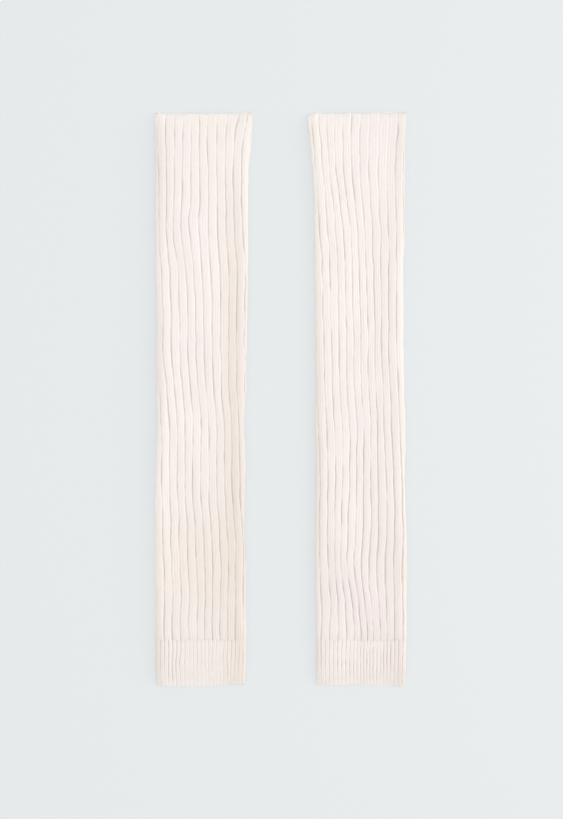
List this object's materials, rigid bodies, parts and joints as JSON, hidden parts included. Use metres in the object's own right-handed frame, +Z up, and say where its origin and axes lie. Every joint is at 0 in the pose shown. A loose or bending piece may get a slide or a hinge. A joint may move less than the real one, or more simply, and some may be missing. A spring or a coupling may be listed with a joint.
{
  "type": "pair of knit leg warmers",
  "caption": "Pair of off-white ribbed knit leg warmers lying flat side by side, each a pressed-flat tube with a finer ribbed ankle cuff.",
  "frame": {"origin": "centre of the pair's footprint, on the surface that both leg warmers lie on", "axes": "+Y along the legs towards the knee ends, +X towards the right leg warmer, +Z up from the surface"},
  "size_m": [0.2631, 0.6028, 0.0087],
  "materials": {
    "broad_rib_knit": "soft matt wool-blend rib, off-white",
    "fine_rib_knit": "soft matt wool-blend fine rib, off-white"
  },
  "bodies": {
    "root": {"left_leg_tube": "broad_rib_knit", "left_ankle_cuff": "fine_rib_knit", "right_leg_tube": "broad_rib_knit", "right_ankle_cuff": "fine_rib_knit"}
  },
  "joints": []
}
